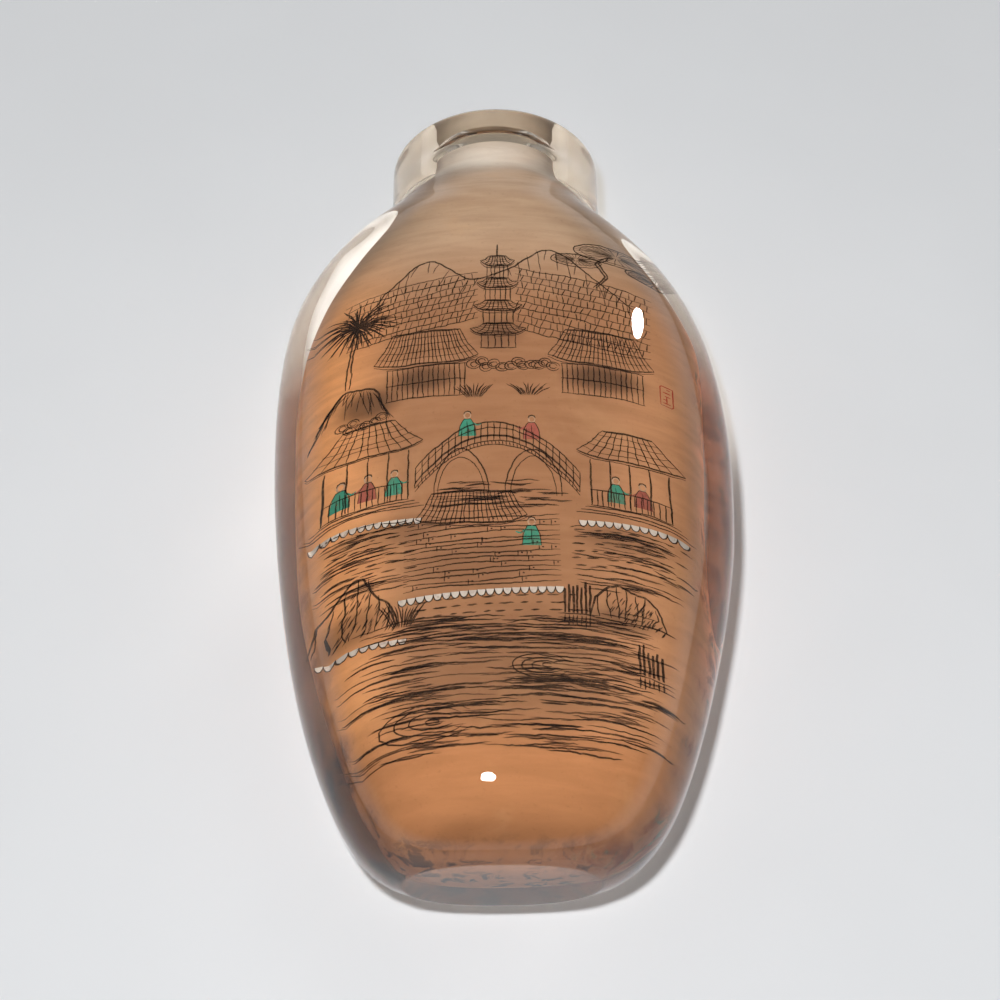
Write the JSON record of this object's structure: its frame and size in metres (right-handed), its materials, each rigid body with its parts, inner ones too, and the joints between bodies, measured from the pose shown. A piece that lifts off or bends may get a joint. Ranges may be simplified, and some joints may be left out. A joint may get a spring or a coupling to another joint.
{
  "type": "snuff bottle",
  "caption": "Flattened ovoid clear glass snuff bottle painted on its inside, with a stout round neck and a narrow open bore, lying on its back.",
  "frame": {"origin": "below the middle of the bottle, on the surface that its back rests on", "axes": "+Y along the bottle from its foot to its mouth, +Z out of the middle of the painted front, +X towards the right flank as the front is looked at with the mouth up"},
  "size_m": [0.043, 0.076, 0.0247],
  "materials": {
    "painted_glass": "polished clear glass outside, tan paint on the wall of the hollow, polished lip, finely ground foot"
  },
  "bodies": {
    "root": {"bottle": "painted_glass"}
  },
  "joints": []
}
